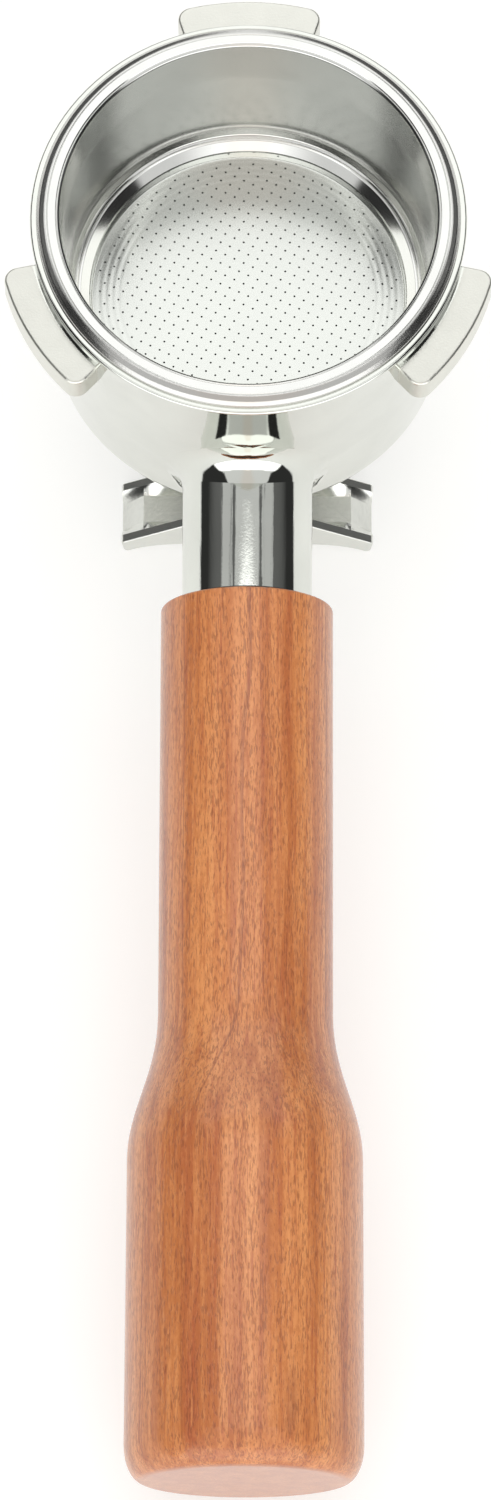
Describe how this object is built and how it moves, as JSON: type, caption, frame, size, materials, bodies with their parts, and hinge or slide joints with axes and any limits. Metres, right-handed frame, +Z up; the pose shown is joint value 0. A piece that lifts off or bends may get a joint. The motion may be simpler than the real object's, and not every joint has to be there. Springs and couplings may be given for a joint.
{
  "type": "espresso portafilter",
  "caption": "Lever-locked coffee filter holder with a turned wooden handle, lift-out perforated basket and open twin pouring spout.",
  "frame": {"origin": "centre of the basket flange's top plane, where the cup meets the machine", "axes": "+Z up along the cup's axis and out of its mouth, +Y away from the handle, +X to the right"},
  "size_m": [0.0686, 0.2092, 0.0628],
  "materials": {
    "polished_casting": "mirror polished cup and neck, satin machined lugs",
    "basket_steel": "bright pressed stainless sheet",
    "spring_steel": "drawn spring wire",
    "nipple_steel": "turned and threaded",
    "seal_plastic": "white sealing plastic",
    "spout_casting": "polished outside, grainy as-cast channel floor",
    "washer_rubber": "black fibre rubber",
    "stud_steel": "zinc-plated thread",
    "insert_brass": "barbed brass bush",
    "handle_wood": "oiled reddish-brown hardwood with fine pores"
  },
  "bodies": {
    "holder": {"portafilter_body": "polished_casting", "basket_spring": "spring_steel", "outlet_nipple": "nipple_steel", "spout_seal": "seal_plastic", "handle_washer": "washer_rubber", "handle_stud": "stud_steel", "handle_insert": "insert_brass", "wooden_handle": "handle_wood"},
    "basket": {"filter_basket": "basket_steel"},
    "spout": {"double_spout": "spout_casting"}
  },
  "joints": [
    {"name": "basket_lift", "type": "slide", "parent": "holder", "child": "basket", "axis": [0, 0, 1], "range_m": [0, 0.035]},
    {"name": "spout_turn", "type": "hinge", "parent": "holder", "child": "spout", "pos_m": [0, -0.0192, -0.05], "axis": [0, 0, 1], "range_deg": [-90, 90]}
  ]
}
